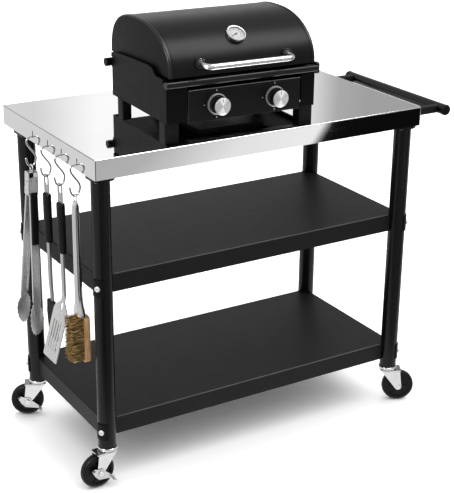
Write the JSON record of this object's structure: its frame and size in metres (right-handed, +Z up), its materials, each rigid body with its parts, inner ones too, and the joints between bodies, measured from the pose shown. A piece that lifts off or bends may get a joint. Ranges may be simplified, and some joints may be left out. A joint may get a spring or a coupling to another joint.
{
  "type": "grill cart",
  "caption": "Rolling work table on braked swivel casters with polished top, shelves, push handle, tabletop gas grill and hung tools.",
  "frame": {"origin": "on the floor under the middle of the whole outline", "axes": "+Z up, +X towards the push handle, -Y towards the side with the grill's knobs"},
  "size_m": [1.0636, 0.5396, 1.0829],
  "materials": {
    "polished_steel": "mirror polished sheet",
    "black_steel": "satin black powder coat",
    "black_enamel": "satin black enamel",
    "black_plastic": "fine matt",
    "chrome": "bright plate",
    "tool_steel": "smooth polished",
    "dark_screws": "darkened",
    "wheel_rubber": "dark grey tread",
    "wood": "plain oiled",
    "brass": "wire bristle",
    "cast_iron": "seasoned",
    "knob_metal": "turned face",
    "needle_red": "matt"
  },
  "bodies": {
    "cart": {"top_panel": "polished_steel", "top_stiffeners": "polished_steel", "corner_blocks": "black_steel", "leg_flanges": "black_steel", "leg_sockets": "black_plastic", "leg_front_left": "black_steel", "leg_front_right": "black_steel", "leg_back_left": "black_steel", "leg_back_right": "black_steel", "middle_shelf": "black_steel", "lower_shelf": "black_steel", "shelf_saddles": "black_plastic", "shelf_bolts": "chrome", "handle_bar": "black_steel", "handle_caps": "black_plastic", "handle_arms": "black_steel", "frame_screws": "dark_screws"},
    "caster_front_left": {"swivel_front_left": "chrome"},
    "wheel_front_left": {"wheel_front_left": "wheel_rubber"},
    "brake_front_left": {"brake_front_left": "chrome"},
    "caster_front_right": {"swivel_front_right": "chrome"},
    "wheel_front_right": {"wheel_front_right": "wheel_rubber"},
    "caster_back_left": {"swivel_back_left": "chrome"},
    "wheel_back_left": {"wheel_back_left": "wheel_rubber"},
    "brake_back_left": {"brake_back_left": "chrome"},
    "caster_back_right": {"swivel_back_right": "chrome"},
    "wheel_back_right": {"wheel_back_right": "wheel_rubber"},
    "s_hook_1": {"s_hook_1": "chrome"},
    "tongs": {"tongs_arm_left": "tool_steel", "tongs_pad_left": "black_plastic"},
    "s_hook_2": {"s_hook_2": "chrome"},
    "spatula": {"spatula_shaft": "tool_steel", "spatula_grip": "black_plastic", "spatula_head": "black_plastic"},
    "s_hook_3": {"s_hook_3": "chrome"},
    "turner": {"turner_blade": "tool_steel", "turner_grip": "black_plastic"},
    "s_hook_4": {"s_hook_4": "chrome"},
    "brush": {"brush_handle": "tool_steel", "brush_block": "wood", "brush_bristles": "brass"},
    "tongs_jaw": {"tongs_arm_right": "tool_steel", "tongs_pad_right": "black_plastic"},
    "grill": {"grill_end_panels": "black_enamel", "grill_feet": "black_plastic", "firebox": "black_enamel", "grill_rail": "black_enamel", "control_panel": "black_enamel", "burners": "tool_steel", "heat_plates": "tool_steel", "knob_bezels": "chrome"},
    "grate": {"cooking_grate": "cast_iron"},
    "tray": {"drip_tray": "tool_steel"},
    "lid": {"grill_lid": "black_enamel", "lid_handle": "chrome", "thermometer": "chrome"},
    "needle": {"thermometer_needle": "needle_red"},
    "knob_left": {"knob_left": "knob_metal"},
    "knob_right": {"knob_right": "knob_metal"}
  },
  "joints": [
    {"name": "swivel_front_left", "type": "hinge", "parent": "cart", "child": "caster_front_left", "pos_m": [-0.45026, -0.22422, 0.099], "axis": [0, 0, 1], "continuous": true},
    {"name": "roll_front_left", "type": "hinge", "parent": "caster_front_left", "child": "wheel_front_left", "pos_m": [-0.48018, -0.22631, 0.0435], "axis": [0.0698, -0.9976, 0], "continuous": true},
    {"name": "brake_front_left", "type": "hinge", "parent": "caster_front_left", "child": "brake_front_left", "pos_m": [-0.48018, -0.22631, 0.0435], "axis": [0.0698, -0.9976, 0], "range_deg": [0, 20]},
    {"name": "swivel_front_right", "type": "hinge", "parent": "cart", "child": "caster_front_right", "pos_m": [0.40574, -0.22422, 0.099], "axis": [0, 0, 1], "continuous": true},
    {"name": "roll_front_right", "type": "hinge", "parent": "caster_front_right", "child": "wheel_front_right", "pos_m": [0.43173, -0.23922, 0.0435], "axis": [0.5, 0.866, 0], "continuous": true},
    {"name": "swivel_back_left", "type": "hinge", "parent": "cart", "child": "caster_back_left", "pos_m": [-0.45526, 0.18378, 0.099], "axis": [0, 0, 1], "continuous": true},
    {"name": "roll_back_left", "type": "hinge", "parent": "caster_back_left", "child": "wheel_back_left", "pos_m": [-0.48287, 0.1955, 0.0435], "axis": [-0.3907, -0.9205, 0], "continuous": true},
    {"name": "brake_back_left", "type": "hinge", "parent": "caster_back_left", "child": "brake_back_left", "pos_m": [-0.48287, 0.1955, 0.0435], "axis": [-0.3907, -0.9205, 0], "range_deg": [0, 20]},
    {"name": "swivel_back_right", "type": "hinge", "parent": "cart", "child": "caster_back_right", "pos_m": [0.41074, 0.18378, 0.099], "axis": [0, 0, 1], "continuous": true},
    {"name": "roll_back_right", "type": "hinge", "parent": "caster_back_right", "child": "wheel_back_right", "pos_m": [0.43793, 0.19646, 0.0435], "axis": [-0.4226, 0.9063, 0], "continuous": true},
    {"name": "s_hook_1_swing", "type": "hinge", "parent": "cart", "child": "s_hook_1", "pos_m": [-0.47851, 0.08278, 0.802], "axis": [0, 1, 0], "range_deg": [0, 20]},
    {"name": "tongs_swing", "type": "hinge", "parent": "s_hook_1", "child": "tongs", "pos_m": [-0.48651, 0.08278, 0.7333], "axis": [0, 1, 0], "range_deg": [-2, 25]},
    {"name": "s_hook_2_swing", "type": "hinge", "parent": "cart", "child": "s_hook_2", "pos_m": [-0.47851, -0.00522, 0.802], "axis": [0, 1, 0], "range_deg": [0, 20]},
    {"name": "spatula_swing", "type": "hinge", "parent": "s_hook_2", "child": "spatula", "pos_m": [-0.48651, -0.00522, 0.7333], "axis": [0, 1, 0], "range_deg": [-2, 25]},
    {"name": "s_hook_3_swing", "type": "hinge", "parent": "cart", "child": "s_hook_3", "pos_m": [-0.47851, -0.08322, 0.802], "axis": [0, 1, 0], "range_deg": [0, 20]},
    {"name": "turner_swing", "type": "hinge", "parent": "s_hook_3", "child": "turner", "pos_m": [-0.48651, -0.08322, 0.7333], "axis": [0, 1, 0], "range_deg": [-2, 25]},
    {"name": "s_hook_4_swing", "type": "hinge", "parent": "cart", "child": "s_hook_4", "pos_m": [-0.47851, -0.16722, 0.802], "axis": [0, 1, 0], "range_deg": [0, 20]},
    {"name": "brush_swing", "type": "hinge", "parent": "s_hook_4", "child": "brush", "pos_m": [-0.48651, -0.16722, 0.7333], "axis": [0, 1, 0], "range_deg": [-2, 25]},
    {"name": "tongs_squeeze", "type": "hinge", "parent": "tongs", "child": "tongs_jaw", "pos_m": [-0.488, 0.08278, 0.69603], "axis": [0.9992, 0, -0.0401], "range_deg": [0, 9], "stiffness_Nm_per_rad": 1.5},
    {"name": "grill_lift", "type": "slide", "parent": "cart", "child": "grill", "axis": [0, 0, 1], "range_m": [0, 0.15]},
    {"name": "grate_lift", "type": "slide", "parent": "grill", "child": "grate", "axis": [0, 0, 1], "range_m": [0, 0.045]},
    {"name": "tray_slide", "type": "slide", "parent": "grill", "child": "tray", "axis": [0.0471, 0.9989, 0], "range_m": [0, 0.2]},
    {"name": "lid_hinge", "type": "hinge", "parent": "grill", "child": "lid", "pos_m": [-0.03415, 0.14409, 0.94505], "axis": [-0.9989, 0.0471, 0], "range_deg": [0, 90]},
    {"name": "needle_turn", "type": "hinge", "parent": "lid", "child": "needle", "pos_m": [-0.04978, -0.14473, 1.05277], "axis": [-0.0275, -0.5835, 0.8117], "range_deg": [-240, 0], "stiffness_Nm_per_rad": 0.002},
    {"name": "knob_left_turn", "type": "hinge", "parent": "grill", "child": "knob_left", "pos_m": [-0.1195, -0.19026, 0.89905], "axis": [-0.0471, -0.9989, 0], "range_deg": [0, 200]},
    {"name": "knob_right_turn", "type": "hinge", "parent": "grill", "child": "knob_right", "pos_m": [0.03783, -0.19768, 0.89905], "axis": [-0.0471, -0.9989, 0], "range_deg": [0, 200]}
  ]
}
